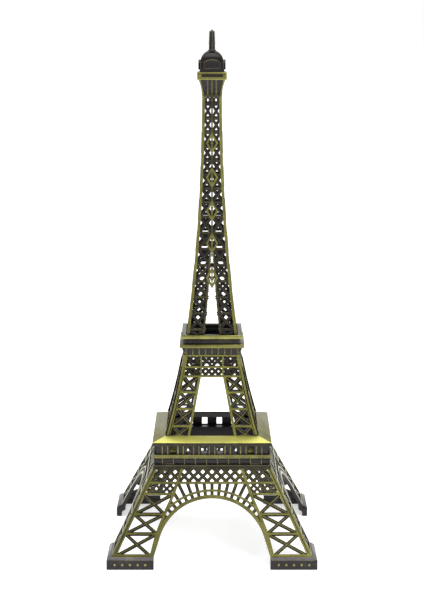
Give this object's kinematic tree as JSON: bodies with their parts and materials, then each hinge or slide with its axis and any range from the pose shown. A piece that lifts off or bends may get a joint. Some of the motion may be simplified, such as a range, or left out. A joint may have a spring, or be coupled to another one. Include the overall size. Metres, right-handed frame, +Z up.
{
  "type": "miniature lattice tower",
  "caption": "Free-standing souvenir model of an iron lattice tower: four leaning lattice sides on corner feet, two ringed floors, a tapering spire and a domed cabin with a mast.",
  "frame": {"origin": "centre of the square that the feet's undersides make, on the surface they stand on", "axes": "+Z up along the tower's axis; -Y is the front; +X is to the right seen from the front"},
  "size_m": [0.128, 0.128, 0.32],
  "materials": {
    "antique_brass": "antique brass plate on a zinc casting: black patina in the recesses, raised bars rubbed back to olive-yellow brass",
    "rubbed_brass": "antique brass plate rubbed bright over the whole upper face",
    "gunmetal_patina": "dark gunmetal patina with brass showing along worn edges"
  },
  "bodies": {
    "root": {"foot_front_right": "gunmetal_patina", "foot_back_right": "gunmetal_patina", "foot_back_left": "gunmetal_patina", "foot_front_left": "gunmetal_patina", "lower_side_front": "antique_brass", "lower_side_right": "antique_brass", "lower_side_back": "antique_brass", "lower_side_left": "antique_brass", "first_floor_fascia": "antique_brass", "first_floor_gallery": "antique_brass", "first_floor_cornice": "rubbed_brass", "middle_side_front": "antique_brass", "middle_side_right": "antique_brass", "middle_side_back": "antique_brass", "middle_side_left": "antique_brass", "second_floor_fascia": "antique_brass", "second_floor_balcony": "antique_brass", "second_floor_parapet": "antique_brass", "spire_side_front": "antique_brass", "spire_side_right": "antique_brass", "spire_side_back": "antique_brass", "spire_side_left": "antique_brass", "head_cove": "antique_brass", "head_collar": "antique_brass", "lantern_cabin": "gunmetal_patina", "cupola": "gunmetal_patina", "mast": "gunmetal_patina"}
  },
  "joints": []
}
